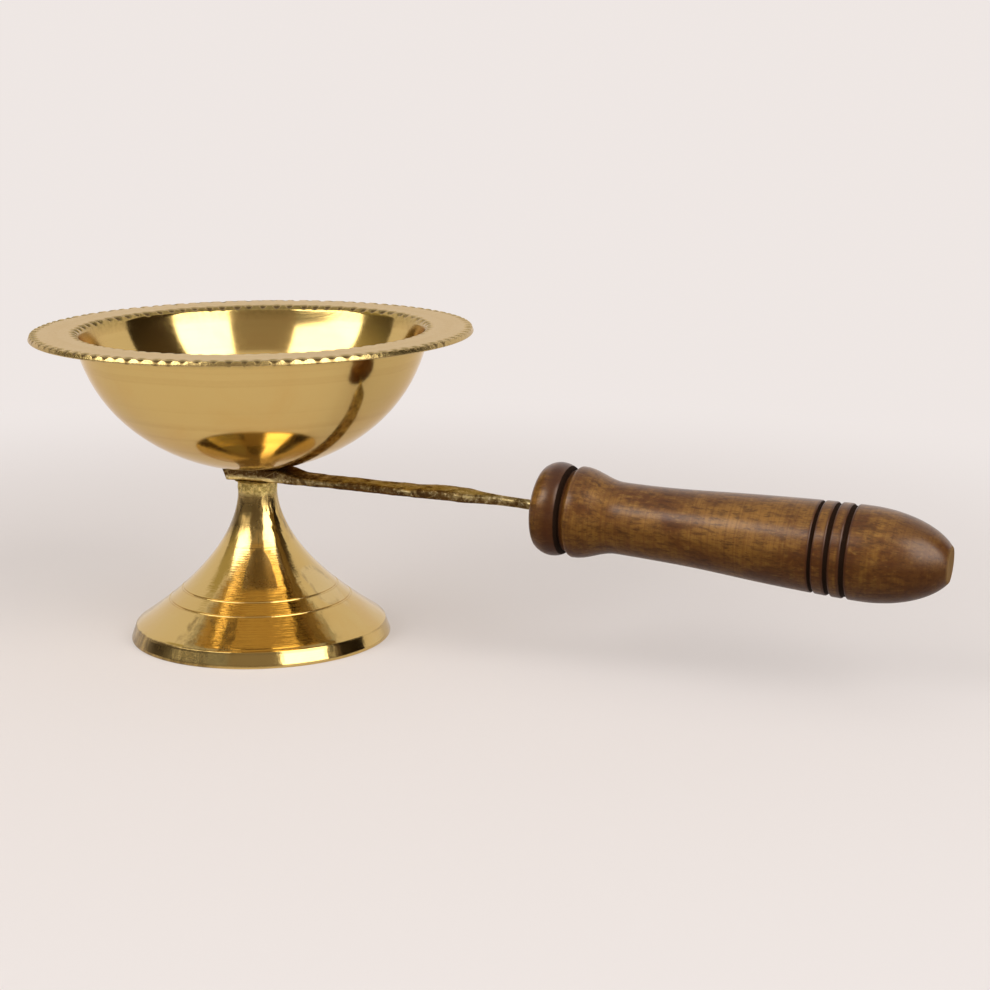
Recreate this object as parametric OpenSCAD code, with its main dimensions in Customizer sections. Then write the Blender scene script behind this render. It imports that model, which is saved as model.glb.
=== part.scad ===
// Aarti lamp: a brass bowl and a trumpet foot clamped on a brass strap that carries a turned wooden grip.
// The origin is the centre of the foot's resting plane. +Z is up and the grip points along +X.
// One screw through the bowl's floor holds bowl, strap and foot together, with its nut inside the foot.

/* [Bowl] */
// Outer diameter of the flat rim
rim_d = 110; // [104:0.5:130]
// Outer diameter of the bowl's curve, before its top leans outwards
bowl_d = 85.2; // [76:0.2:92]
// Height of the bowl, from its seat on the strap to the top of the rim
bowl_h = 35.2; // [28:0.1:48]
// Thickness of the spun brass
bowl_wall = 1.4; // [1:0.1:2]
// Diameter of the flat spot under the bowl
bowl_seat_d = 10.6; // [10:0.2:18]
// Angle at which the wall leans outwards where it meets the rim, in degrees
wall_lean = 14; // [6:1:22]
// Power of the lean: the higher, the nearer to the rim it starts
lean_power = 6; // [4:1:9]
// Outside radius of the bend from the wall into the rim
rim_bend_r = 0.6; // [0.4:0.1:2]
// Rounding of the rim's outer edge
rim_edge_r = 0.6; // [0.3:0.05:0.65]
// Power of the bowl's curve: 2 is a half ellipse, less is leaner
bowl_power = 1.885; // [1.6:0.005:2.2]

/* [Punched marks] */
// Number of marks in the outer row
outer_marks = 100; // [60:2:110]
// Number of marks in the inner row
inner_marks = 76; // [50:2:84]
// Diameter of one mark at the surface
mark_d = 1.9; // [1.2:0.1:2]
// Depth of one mark
mark_depth = 0.5; // [0.3:0.05:0.6]
// Distance from the rim's edge to the centre of the outer row
outer_inset = 1.5; // [1.5:0.1:3]
// Distance from the inner edge of the flat rim to the centre of the inner row
inner_inset = 0.5; // [0:0.1:2]

/* [Foot] */
// Height of the foot, up to the strap
foot_h = 40.3; // [36:0.1:50]
// Diameter of the foot where it rests
foot_d = 65.8; // [64.8:0.2:80]
// Rounding of the foot's resting edge
foot_edge_r = 0.5; // [0.2:0.1:1.2]
// Height of the polished band at the bottom
band_h = 4; // [3:0.1:7]
// Diameter at the top edge of the band
band_top_d = 63.5; // [50:0.1:64.5]
// Thickness of the band at its top edge
band_wall = 2.4; // [1.8:0.1:4]
// Diameter of the neck
neck_d = 9.8; // [8.6:0.1:14]
// Length of the straight part of the neck
neck_straight = 2.2; // [1.6:0.1:5]
// Radius of the fillet that spreads the neck's top under the strap
neck_fillet_r = 0.8; // [0.4:0.1:1.4]
// Power of the trumpet curve, from band to neck
foot_power = 1.91; // [1.6:0.01:2.2]
// Height of the hollow's surface below the outer surface
foot_drop = 2.8; // [2.2:0.1:4]
// Height of the lower engraved line
line_low_z = 10.4; // [8:0.1:11.5]
// Height of the upper engraved line
line_high_z = 13.2; // [12.5:0.1:18]
// Radius of the engraved lines' round bottom
line_r = 0.3; // [0.15:0.05:0.5]

/* [Strap] */
// Width of the strap
strap_w = 7.6; // [6.6:0.2:12]
// Thickness of the strap's eye, between bowl and foot
eye_t = 3.3; // [2.4:0.1:5]
// Thickness of the strap beyond the eye
strap_t = 2.3; // [1.8:0.1:2.4]
// Length of the strap's tail past the foot's axis
strap_tail = 8; // [6:0.1:14]
// How far the tail's end is undercut
tail_rake = 1.4; // [0:0.1:2]
// Length of the level part, from the axis to the bend
strap_level = 8; // [7:0.5:14]
// Length over which the strap thins from the eye
thin_len = 4; // [2:0.5:12]
// Angle at which the strap falls beyond the bend, in degrees
strap_fall = 1.77; // [0:0.01:5]
// Distance from the axis to the end of the strap's flat
strap_reach = 66; // [60:0.5:90]
// Length over which the strap narrows to the tang
taper_len = 9; // [6:0.5:14]
// Diameter of the round tang
tang_d = 2.4; // [2:0.1:3.4]
// Bare length of the tang between the strap's flat and the wood
tang_bare = 9.6; // [4:0.2:14]
// Length of the tang inside the wood
tang_in = 42; // [25:1:60]
// Clearance around the tang in its bore
tang_play = 0.1; // [0.05:0.05:0.2]

/* [Wooden grip] */
// Length of the grip
wood_len = 99.2; // [90:0.2:130]
// Angle at which the grip and the tang fall, in degrees
wood_fall = 3.7; // [0:0.1:8]
// Diameter of the collar bead
bead_d = 22.6; // [18:0.2:28]
// Length of the collar bead
bead_len = 8.4; // [6:0.2:11]
// Depth of the groove behind the bead, from the bead's crest
bead_groove = 1.5; // [0.6:0.1:2.5]
// Diameter of the shoulder behind the groove
lip_d = 22; // [18:0.2:28]
// Distance from the bead's end to the shoulder's crest
lip_step = 2.2; // [1.6:0.1:4]
// Diameter of the waist
waist_d = 17.2; // [13:0.1:20]
// Distance from the grip's front to the waist
waist_x = 21; // [16:0.5:36]
// Largest diameter of the grip
grip_d = 22.1; // [18:0.1:30]
// Distance from the grip's front to its largest diameter
grip_x = 80; // [70:0.5:86]
// Diameter of the sawn flat at the end
end_d = 8.2; // [4:0.1:12]
// Number of burnt grooves
burn_count = 3; // [1:1:4]
// Distance from the grip's front to the last burnt groove
burn_x = 76.5; // [60:0.5:79]
// Spacing of the burnt grooves
burn_pitch = 3.75; // [2.5:0.05:6]
// Width of one burnt groove
burn_w = 1.3; // [0.6:0.1:2]
// Depth of one burnt groove
burn_depth = 0.5; // [0.2:0.05:0.8]

/* [Screw and nut] */
// Thread diameter
screw_d = 4; // [3:0.5:5]
// Length of the screw under its head
screw_len = 30; // [26:1:34]
// Diameter of the round head
head_d = 8; // [7:0.1:9.5]
// Height of the round head
head_h = 2.4; // [2:0.1:3]
// Width of the screwdriver slot
slot_w = 1.2; // [0.8:0.1:1.4]
// Depth of the screwdriver slot
slot_depth = 1.1; // [0.8:0.1:1.3]
// Diameter of the flat washers
washer_d = 9; // [8:0.1:10]
// Thickness of the flat washers
washer_t = 0.8; // [0.5:0.1:1.2]
// Diameter of the spring washer
lock_d = 7.6; // [7:0.1:9]
// Thickness of the spring washer
lock_t = 0.9; // [0.6:0.1:1.4]
// Gap where the spring washer is split
lock_gap = 0.8; // [0.4:0.1:1.5]
// Width of the nut across its flats
nut_flats = 7; // [6.8:0.1:8]
// Height of the nut
nut_h = 3.2; // [2.6:0.1:4]
// Thread left showing below the nut
thread_show = 1.2; // [0.6:0.1:3]
// Clearance around the screw in the holes
hole_play = 0.2; // [0.1:0.05:0.4]
// Clearance between screw and nut, in place of a thread
thread_play = 0.05; // [0.03:0.01:0.1]

/* [Hidden] */
$fn = 96;

// Number of steps in a long curve and in a small round
curve_steps = 20;
round_steps = 5;
// How far a cut runs past the surface that it opens
over = 1;

// Heights of the stack, from the foot up
strap_z = foot_h;
bowl_z = strap_z + eye_t;
floor_z = bowl_z + bowl_wall;
head_z = floor_z + washer_t;
rim_z = bowl_z + bowl_h;

// Heights of the hardware inside the foot, from the screw's tip up
tip_z = head_z - screw_len;
nut_z = tip_z + thread_show;
lock_z = nut_z + nut_h;
washer_z = lock_z + lock_t;
seat_z = washer_z + washer_t;
hole_d = screw_d + 2 * hole_play;

// Centre of the bend between wall and rim
curve_z = rim_z - bowl_wall - rim_bend_r;
wall_rise = curve_z + rim_bend_r * sin(wall_lean) - bowl_z;
bend_r = bowl_d / 2 + tan(wall_lean) * wall_rise / lean_power + rim_bend_r * cos(wall_lean);

// Height where the foot's trumpet meets its straight neck
curve_top_z = foot_h - neck_straight;

// Place where the tang leaves the strap, and where it enters the wood
tang_root = taper_len / 2;
tang_x = strap_reach - tang_root;
tang_z = strap_z + strap_t / 2 - (tang_x - strap_level) * tan(strap_fall);
tang_out = tang_root + tang_bare;
wood_x = tang_x + tang_out * cos(wood_fall);
wood_z = tang_z - tang_out * sin(wood_fall);

// Outline of the collar bead, as shares of its length and of its radius
bead_shares = [
    [0, 0.3], [0.03, 0.6], [0.14, 0.84], [0.3, 0.94], [0.45, 0.985], [0.6, 1], [0.79, 0.98], [0.94, 0.925]
];

// Points of an arc about a centre
function arc(centre, r, from, to, steps) = [
    for (i = [0:steps])
        let (a = from + (to - from) * i / steps)
            centre + r * [cos(a), sin(a)]
];

// Points of a smooth step between two points, level at both ends
function ease(a, b, steps) = [
    for (i = [0:steps])
        let (t = i / steps)
            [a.x + (b.x - a.x) * t, a.y + (b.y - a.y) * (1 - cos(180 * t)) / 2]
];

// Point where the wall meets the bend of radius r
function wall_end(r) = [bend_r - r * cos(wall_lean), curve_z + r * sin(wall_lean)];

// Points of a bowl curve, from the edge of its flat of radius r up to its leaning end
function bowl_curve(r, low, end) =
    let (
        rise = end.y - low,
        lean = tan(wall_lean) * rise / lean_power,
        a = end.x - lean,
        b = rise / pow(1 - pow(r / a, bowl_power), 1 / bowl_power),
        start = asin(pow(r / a, bowl_power / 2))
    )
    [
        for (i = [0:curve_steps])
            let (
                t = start + (90 - start) * i / curve_steps,
                z = end.y - b * pow(max(cos(t), 0), 2 / bowl_power),
                share = max(z - low, 0) / rise
            )
                [a * pow(sin(t), 2 / bowl_power) + lean * pow(share, lean_power), z]
    ];

// Radius of the foot's trumpet at height z
function foot_r(z) =
    let (share = (curve_top_z - z) / (curve_top_z - band_h))
        neck_d / 2 + (band_top_d - neck_d) / 2 * pow(share, foot_power);

// The same points in the opposite order
function reversed(points) = [for (i = [len(points) - 1:-1:0]) points[i]];

// A flat ring with its underside at height z
module ring(outer_d, inner_d, t, z) {
    translate([0, 0, z])
        difference() {
            cylinder(d = outer_d, h = t);
            translate([0, 0, -over])
                cylinder(d = inner_d, h = t + 2 * over);
        }
}

// A ring of round punched marks at radius r, in the rim's top face
module marks(count, r) {
    punch_r = (mark_d * mark_d / 4 + mark_depth * mark_depth) / (2 * mark_depth);
    for (i = [0:count - 1])
        rotate([0, 0, 360 * i / count])
            translate([r, 0, rim_z + punch_r - mark_depth])
                sphere(r = punch_r, $fn = 24);
}

// Bowl: flat seat, curve a little leaner than a half ellipse, wall bent out into a flat rim
module bowl() {
    seat_r = bowl_seat_d / 2;
    edge_x = rim_d / 2 - rim_edge_r;
    bend = [bend_r, curve_z];
    inner = bowl_curve(seat_r, floor_z, wall_end(rim_bend_r + bowl_wall));
    outer = bowl_curve(seat_r, bowl_z, wall_end(rim_bend_r));
    color("#c8a55f")
        difference() {
            rotate_extrude()
                polygon(concat(
                    [[hole_d / 2, bowl_z], [hole_d / 2, floor_z]],
                    inner,
                    arc(bend, rim_bend_r + bowl_wall, 180 - wall_lean, 90, round_steps),
                    arc([edge_x, rim_z - rim_edge_r], rim_edge_r, 90, 0, round_steps),
                    arc([edge_x, rim_z - bowl_wall + rim_edge_r], rim_edge_r, 0, -90, round_steps),
                    arc(bend, rim_bend_r, 90, 180 - wall_lean, round_steps),
                    reversed(outer)
                ));
            marks(outer_marks, rim_d / 2 - outer_inset);
            marks(inner_marks, bend_r + inner_inset);
        }
}

// Screw: round slotted head and plain shank
module bowl_screw() {
    dome_r = (head_d * head_d / 4 + head_h * head_h) / (2 * head_h);
    color("#b9a878")
        difference() {
            union() {
                translate([0, 0, tip_z])
                    cylinder(d = screw_d, h = screw_len);
                intersection() {
                    translate([0, 0, head_z])
                        cylinder(d = head_d, h = head_h);
                    translate([0, 0, head_z + head_h - dome_r])
                        sphere(r = dome_r);
                }
            }
            translate([-head_d / 2 - over, -slot_w / 2, head_z + head_h - slot_depth])
                cube([head_d + 2 * over, slot_w, slot_depth + over]);
        }
}

// Washer under the screw's head, on the bowl's floor
module head_washer() {
    color("#b9a878")
        ring(washer_d, hole_d, washer_t, floor_z);
}

// Washer against the seat inside the foot
module seat_washer() {
    color("#9a9a96")
        ring(washer_d, hole_d, washer_t, washer_z);
}

// Spring washer, split on the side away from the grip
module lock_washer() {
    color("#8c8c88")
        difference() {
            ring(lock_d, hole_d, lock_t, lock_z);
            translate([-lock_d / 2 - over, -lock_gap / 2, lock_z - over])
                cube([lock_d / 2 + over, lock_gap, lock_t + 2 * over]);
        }
}

// Nut: a hexagon with its corners rounded off at both faces
module hex_nut() {
    corner_d = nut_flats / cos(30);
    chamfer = (corner_d - nut_flats) / 2;
    bore_d = screw_d + 2 * thread_play;
    color("#9a9a96")
        translate([0, 0, nut_z])
            difference() {
                intersection() {
                    cylinder(d = corner_d, h = nut_h, $fn = 6);
                    union() {
                        cylinder(d1 = nut_flats, d2 = corner_d, h = chamfer);
                        translate([0, 0, chamfer])
                            cylinder(d = corner_d, h = nut_h - 2 * chamfer);
                        translate([0, 0, nut_h - chamfer])
                            cylinder(d1 = corner_d, d2 = nut_flats, h = chamfer);
                    }
                }
                translate([0, 0, -over])
                    cylinder(d = bore_d, h = nut_h + 2 * over);
            }
}

// Outline of the foot, turned about the axis and filled
module foot_solid() {
    neck_r = neck_d / 2;
    fillet = [neck_r + neck_fillet_r, foot_h - neck_fillet_r];
    rotate_extrude()
        polygon(concat(
            [[0, 0]],
            arc([foot_d / 2 - foot_edge_r, foot_edge_r], foot_edge_r, -90, 0, round_steps),
            [
                for (i = [0:curve_steps])
                    let (z = band_h + (curve_top_z - band_h) * i / curve_steps)
                        [foot_r(z), z]
            ],
            arc(fillet, neck_fillet_r, 180, 90, round_steps),
            [[0, foot_h]]
        ));
}

// Line engraved round the foot at height z
module engraved_line(z) {
    rotate_extrude()
        translate([foot_r(z), z])
            circle(r = line_r, $fn = 24);
}

// Foot: trumpet with a band below, hollow up to the seat of the nut, and bored through its neck
module pedestal() {
    color("#b8923e")
        difference() {
            foot_solid();
            intersection() {
                translate([0, 0, -foot_drop])
                    foot_solid();
                translate([0, 0, -over])
                    cylinder(r = band_top_d / 2 - band_wall, h = seat_z + over);
            }
            cylinder(d = hole_d, h = foot_h + over);
            engraved_line(line_low_z);
            engraved_line(line_high_z);
        }
}

// Strap: level eye under the bowl, falling flat, taper and round tang
module handle_strap() {
    end_drop = (strap_reach - strap_level) * tan(strap_fall);
    thin_x = strap_level + thin_len;
    color("#826030")
        difference() {
            union() {
                intersection() {
                    translate([0, strap_w / 2, 0])
                        rotate([90, 0, 0])
                            linear_extrude(strap_w)
                                polygon([
                                    [tail_rake - strap_tail, strap_z],
                                    [strap_level, strap_z],
                                    [strap_reach, strap_z - end_drop],
                                    [strap_reach, strap_z + strap_t - end_drop],
                                    [thin_x, strap_z + strap_t - thin_len * tan(strap_fall)],
                                    [strap_level, bowl_z],
                                    [-strap_tail, bowl_z]
                                ]);
                    translate([0, 0, strap_z - end_drop - over])
                        linear_extrude(end_drop + eye_t + 2 * over)
                            polygon([
                                [-strap_tail - over, -strap_w / 2],
                                [strap_reach - taper_len, -strap_w / 2],
                                [strap_reach, -tang_d / 2],
                                [strap_reach, tang_d / 2],
                                [strap_reach - taper_len, strap_w / 2],
                                [-strap_tail - over, strap_w / 2]
                            ]);
                }
                translate([tang_x, 0, tang_z])
                    rotate([0, 90 + wood_fall, 0])
                        cylinder(d = tang_d, h = tang_out + tang_in);
            }
            translate([0, 0, strap_z - over])
                cylinder(d = hole_d, h = eye_t + 2 * over);
        }
}

// Outline of the grip: x runs along it, y is its radius
function grip_outline() =
    let (
        bead_r = bead_d / 2,
        groove = [bead_len, bead_r - bead_groove],
        lip = [bead_len + lip_step, lip_d / 2],
        waist = [waist_x, waist_d / 2],
        widest = [grip_x, grip_d / 2],
        end_angle = acos(end_d / grip_d),
        nose = (wood_len - grip_x) / sin(end_angle)
    )
    concat(
        [[0, 0]],
        [for (p = bead_shares) [p.x * bead_len, p.y * bead_r]],
        [groove],
        arc([lip.x, lip.y - lip_step / 2], lip_step / 2, 160, 90, round_steps),
        ease(lip, waist, curve_steps),
        ease(waist, widest, curve_steps),
        [
            for (i = [1:curve_steps])
                let (a = end_angle * i / curve_steps)
                    widest + [nose * sin(a), widest.y * (cos(a) - 1)]
        ],
        [[wood_len, 0]]
    );

// Radius of the widening grip at distance x from its front
function grip_r(x) = lookup(x, ease([waist_x, waist_d / 2], [grip_x, grip_d / 2], curve_steps));

// Cut for one burnt groove, centred at distance x from the grip's front
module burnt_groove(x) {
    ring(grip_d + 2 * over, 2 * (grip_r(x) - burn_depth), burn_w, x - burn_w / 2);
}

// Grip: turned wood on the tang, with burnt grooves near its end
module wooden_handle() {
    color("#8a5a2b")
        translate([wood_x, 0, wood_z])
            rotate([0, 90 + wood_fall, 0])
                difference() {
                    rotate_extrude()
                        polygon([for (p = grip_outline()) [p.y, p.x]]);
                    translate([0, 0, -over])
                        cylinder(d = tang_d + 2 * tang_play, h = tang_in + tang_play + over);
                    for (i = [0:burn_count - 1])
                        burnt_groove(burn_x - i * burn_pitch);
                }
}

bowl();
bowl_screw();
head_washer();
handle_strap();
pedestal();
seat_washer();
lock_washer();
hex_nut();
wooden_handle();
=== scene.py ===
# %% [markdown]
# The aarti lamp
#
# This lesson dresses a small brass lamp that is swung in front of a shrine. It has a spun bowl with a
# flat, punched rim, a trumpet foot turned on a lathe, a forged strap and a wooden grip. The construction
# model is loaded first as a fixed frame, and each visible piece is then made around it, in metres.

import math
import random

import bmesh
import bpy
from mathutils import Matrix, Vector, noise


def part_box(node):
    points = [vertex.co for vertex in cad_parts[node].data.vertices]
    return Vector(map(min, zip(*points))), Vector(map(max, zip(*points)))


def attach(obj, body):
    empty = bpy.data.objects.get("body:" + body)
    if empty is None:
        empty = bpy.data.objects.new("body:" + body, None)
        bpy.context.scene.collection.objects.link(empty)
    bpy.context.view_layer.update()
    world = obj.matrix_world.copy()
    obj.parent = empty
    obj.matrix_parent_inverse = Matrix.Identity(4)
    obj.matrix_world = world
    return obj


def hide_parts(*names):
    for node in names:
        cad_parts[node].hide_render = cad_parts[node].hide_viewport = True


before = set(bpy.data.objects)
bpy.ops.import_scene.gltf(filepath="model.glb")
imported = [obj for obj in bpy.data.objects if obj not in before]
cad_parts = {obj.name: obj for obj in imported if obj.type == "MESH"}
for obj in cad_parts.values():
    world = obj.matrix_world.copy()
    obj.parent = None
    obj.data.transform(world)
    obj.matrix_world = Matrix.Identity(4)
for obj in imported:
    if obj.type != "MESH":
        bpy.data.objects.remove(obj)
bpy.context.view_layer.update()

# %% [markdown]
# Units and places
#
# Blender works in metres and a lamp is easier to think about in millimetres, so every size below is a
# number of millimetres times MM. The places where pieces meet are measured on the frame, which keeps the
# dressed pieces on the construction model when that model changes.

# %% Sizes measured on the frame
MM = 0.001
TAU = math.tau
bowl_low, bowl_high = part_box("bowl")
_, foot_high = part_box("pedestal")
strap_low, strap_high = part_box("handle_strap")
rim_z = bowl_high.z / MM
rim_r = bowl_high.y / MM
bowl_z = bowl_low.z / MM
foot_h = foot_high.z / MM
foot_r = foot_high.y / MM
eye_t = bowl_z - foot_h
print(f"rim radius {rim_r:.1f}, rim height {rim_z:.1f}, foot {foot_h:.1f} high and {foot_r:.1f} in radius")

# %% [markdown]
# The camera
#
# The photograph looks down at the lamp by about twelve degrees, with the grip pointing away to the right.
# The rim and the foot are circles on the real lamp, so their ellipses in the picture give the camera's
# place and its lens. A long lens keeps the shape from looking bloated.

# %% Camera at the photograph's viewing angle
SENSOR_W = 36.0
FOCAL_PX = 2210.5
IMAGE_PX = 990
CAMERA_AT = (254.8, -487.4, 154.26)
CAMERA_TURN = 21.334
CAMERA_TILT = 77.763
CAMERA_ROLL = -0.426


def turned(degrees, axis):
    return Matrix.Rotation(math.radians(degrees), 4, axis)


def placed(name, data):
    """A new object in the scene."""
    obj = bpy.data.objects.new(name, data)
    bpy.context.scene.collection.objects.link(obj)
    return obj


camera = placed("camera", bpy.data.cameras.new("camera"))
camera.data.sensor_width = SENSOR_W
camera.data.lens = SENSOR_W * FOCAL_PX / IMAGE_PX
camera.matrix_world = (
    Matrix.Translation(Vector(CAMERA_AT) * MM)
    @ turned(CAMERA_TURN, "Z")
    @ turned(CAMERA_TILT, "X")
    @ turned(CAMERA_ROLL, "Z")
)
bpy.context.scene.camera = camera
camera_azimuth = math.degrees(math.atan2(CAMERA_AT[1], CAMERA_AT[0]))
print(f"camera lens {camera.data.lens:.1f} mm, azimuth {camera_azimuth:.1f} degrees")

# %% [markdown]
# Helpers for meshes
#
# Bowl, foot and grip are all turned shapes. Each starts as an outline of radius and height that is spun
# round the Z axis, as a lathe or a spinning chuck does it. Every point of an outline also carries values,
# such as how matte or how burnt the surface is there, and the materials read them later as attributes.

# %% Outlines
LEAST_GAP = 1e-4


def arc(centre, radius, start, stop, steps):
    """Points of an arc, with its angles in degrees."""
    angles = [math.radians(start + (stop - start) * i / steps) for i in range(steps + 1)]
    return [(centre[0] + radius * math.cos(a), centre[1] + radius * math.sin(a)) for a in angles]


def spaced(start, stop, step):
    """Evenly spaced values from start to stop, about step apart."""
    count = max(1, round(abs(stop - start) / step))
    return [start + (stop - start) * i / count for i in range(count + 1)]


def mixed(a, b, share):
    return a + (b - a) * share


def smooth_step(low, high, value):
    """0 below low, 1 above high, and a smooth ramp between them."""
    t = min(1, max(0, (value - low) / (high - low)))
    return t * t * (3 - 2 * t)


def without_repeats(outline):
    """The outline without points that lie on the point before them."""
    kept = [outline[0]]
    for point in outline[1:]:
        if math.dist(point, kept[-1]) > LEAST_GAP:
            kept.append(point)
    return kept


# %% Lathe
MERGE_GAP = 2e-6


def lathe(outline, sectors, steps, closed, **values):
    """Spins (radius, height) points in millimetres into a bmesh: one sector in a number of steps, which is
    then repeated round the axis. Each value is a function of the point, kept as an attribute. So is the run,
    the distance along the outline in metres, which the fine lines left by turning follow later."""
    bm = bmesh.new()
    outline = without_repeats(outline)
    layers = {name: bm.verts.layers.float.new(name) for name in ("run", *values)}
    along = 0
    ring = []
    for i, (r, z) in enumerate(outline):
        if i:
            along += math.dist(outline[i - 1], (r, z))
        vertex = bm.verts.new((r * MM, 0, z * MM))
        vertex[layers["run"]] = along * MM
        for name, value in values.items():
            vertex[layers[name]] = value(r, z)
        ring.append(vertex)
    edges = [bm.edges.new(pair) for pair in zip(ring, ring[1:])]
    if closed:
        edges.append(bm.edges.new((ring[-1], ring[0])))
    axis = {"cent": (0, 0, 0), "axis": (0, 0, 1)}
    bmesh.ops.spin(bm, geom=ring + edges, angle=TAU / sectors, steps=steps, **axis)
    sector = bm.verts[:] + bm.edges[:] + bm.faces[:]
    turn = TAU * (sectors - 1) / sectors
    bmesh.ops.spin(bm, geom=sector, angle=turn, steps=sectors - 1, use_duplicate=True, **axis)
    bmesh.ops.remove_doubles(bm, verts=bm.verts, dist=MERGE_GAP)
    bmesh.ops.recalc_face_normals(bm, faces=bm.faces)
    return bm


# %% From mesh to piece


def smooth_object(name, bm):
    """Turns a bmesh into an object with smooth shading."""
    for face in bm.faces:
        face.smooth = True
    mesh = bpy.data.meshes.new(name)
    bm.to_mesh(mesh)
    bm.free()
    return placed(name, mesh)


def piece(name, bm, *nodes, slot, sharp):
    """Turns a bmesh into a piece of the lamp, creased where faces meet at more than a sharp number of
    degrees. It rides on the lamp's one body and replaces nodes of the construction model."""
    for edge in bm.edges:
        edge.smooth = len(edge.link_faces) != 2 or edge.calc_face_angle(0) < math.radians(sharp)
    obj = smooth_object(name, bm)
    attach(obj, "root")
    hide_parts(*nodes)
    print(f"{name}: {sum(len(p.vertices) - 2 for p in obj.data.polygons)} triangles")
    return obj


# %% [markdown]
# The bowl
#
# The bowl is spun: a flat disc of brass is pressed over a turning wooden form with a long tool, and the
# edge is then folded outward into a flat rim. Its wall is an even 1.4 mm thick. The curve is close to half
# an ellipse but a little leaner, so it is written as a superellipse with its own power. Near the rim the
# wall leans outwards, which decides how much of the room the inside mirrors. The rim's edge is a slanted
# face between two small round corners, left by a file.

# %% Sizes of the bowl
bowl_wall = 1.4
bowl_half = 42.6
bowl_seat_r = 5.3
bowl_power = 1.885
wall_lean = 14
lean_power = 6
bend_out = 0.6
bend_in = bend_out + bowl_wall
bend_z = rim_z - bend_in
floor_z = bowl_z + bowl_wall
edge_r = 0.3
edge_slant = 0.32
screw_hole_r = 2.2
wall_steps = 19
bend_steps = 14
edge_parts = 5


def wall_end(bend_radius):
    """Place where the wall meets the bend, measured from the bend's centre."""
    lean = math.radians(wall_lean)
    return -bend_radius * math.cos(lean), bend_radius * math.sin(lean)


lean_tan = math.tan(math.radians(wall_lean))
wall_rise = bend_z + wall_end(bend_out)[1] - bowl_z
bend_r = bowl_half + lean_tan * wall_rise / lean_power - wall_end(bend_out)[0]
mark_zone = 1.5
outer_row_r = rim_r - 1.0
inner_row_r = bend_r - 0.6
print(f"the wall bends into the rim at radius {bend_r:.2f}")

# %% Outline of the bowl


def bowl_curve(bend_radius, seat_z):
    """Points of the wall's curve from the flat seat up to its leaning end."""
    end_r, end_z = (a + b for a, b in zip((bend_r, bend_z), wall_end(bend_radius)))
    rise = end_z - seat_z
    lean = lean_tan * rise / lean_power
    half_width = end_r - lean
    share = bowl_seat_r / half_width
    depth = rise / (1 - share**bowl_power) ** (1 / bowl_power)
    start = math.asin(share ** (bowl_power / 2))
    points = []
    for i in range(wall_steps + 1):
        t = mixed(start, math.pi / 2, i / wall_steps)
        z = end_z - depth * max(math.cos(t), 0) ** (2 / bowl_power)
        r = half_width * math.sin(t) ** (2 / bowl_power) + lean * (max(z - seat_z, 0) / rise) ** lean_power
        points.append((r, z))
    return points


def edge_face(top_corner, low_corner, face_tilt):
    """Points down the slanted face between the two rounded corners of the rim's edge."""
    first = arc(top_corner, edge_r, face_tilt, face_tilt, 1)[0]
    last = (low_corner[0] + edge_r, low_corner[1])
    return [tuple(mixed(a, b, i / edge_parts) for a, b in zip(first, last)) for i in range(edge_parts)]


def bowl_outline():
    """The wall's section, from the hole up the inside, over the rim and down the outside."""
    bend = (bend_r, bend_z)
    flat_end = rim_r - edge_slant - edge_r
    fine, plain = 0.25, 1.2
    flat = spaced(bend_r, inner_row_r + mark_zone, fine)
    flat += spaced(inner_row_r + mark_zone, outer_row_r - mark_zone, plain)[1:]
    flat += spaced(outer_row_r - mark_zone, flat_end, fine)[1:]
    top_corner = (flat_end, rim_z - edge_r)
    low_corner = (rim_r - edge_r, rim_z - bowl_wall + edge_r)
    face_tilt = math.degrees(math.atan2(edge_slant, bowl_wall - 2 * edge_r))
    return (
        [(screw_hole_r, bowl_z), (screw_hole_r, floor_z)]
        + bowl_curve(bend_in, floor_z)
        + arc(bend, bend_in, 180 - wall_lean, 90, bend_steps)
        + [(r, rim_z) for r in flat]
        + arc(top_corner, edge_r, 90, face_tilt, 4)[:-1]
        + edge_face(top_corner, low_corner, face_tilt)
        + arc(low_corner, edge_r, 0, -90, 4)
        + [(rim_r - 3, rim_z - bowl_wall), (rim_r - 6, rim_z - bowl_wall)]
        + arc(bend, bend_out, 90, 180 - wall_lean, 4)
        + bowl_curve(bend_out, bowl_z)[::-1]
    )


# %% Spin the bowl


def matte_of_bowl(r, z):
    """1 on the rim and its bend, which are only brushed, and 0 where the buffing wheel went."""
    on_top = smooth_step(rim_z - 0.4, rim_z - 0.05, z)
    on_edge = 0.5 * smooth_step(rim_r - 1.2, rim_r - 0.3, r)
    return max(on_top, on_edge)


def dirt_and_edge_shade_of_bowl(r, z):
    """1 in the bend where the inside turns into the rim, which no cloth reaches, and 0.6 of painted shade on
    the rim's outer edge.
    """
    inside = smooth_step(bend_r - 2.3, bend_r - 1.7, r) * (1 - smooth_step(bend_r - 0.7, bend_r + 0.1, r))
    # Painted shade on the rim's outer edge, under the lip.
    on_edge = 0.6 * smooth_step(rim_r - 0.7, rim_r - 0.3, r)
    return max(inside * smooth_step(rim_z - 3.2, rim_z - 1.9, z), on_edge)


bowl_mesh = lathe(
    bowl_outline(), sectors=20, steps=50, closed=True,
    matte=matte_of_bowl, bend_dirt=dirt_and_edge_shade_of_bowl,
)
print("bowl spun:", len(bowl_mesh.verts), "points")

# %% [markdown]
# The punched marks
#
# Two rows of dots are struck by hand with a round-nosed punch, one at the rim's edge, where each dot bites a
# small scallop out of it, and one on the bend. They could be a bump texture, but a bump can't change the
# outline of the edge, so the points of the mesh are pushed down instead. Each dot gets its own small error
# in place, width and depth from a seeded generator, because a row of perfect dots looks machine made. On
# one side the punch was struck more lightly, and on the far side the outer row wanders inwards. The depth
# is also kept as an attribute: old polish stays in the dots and darkens.

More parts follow.
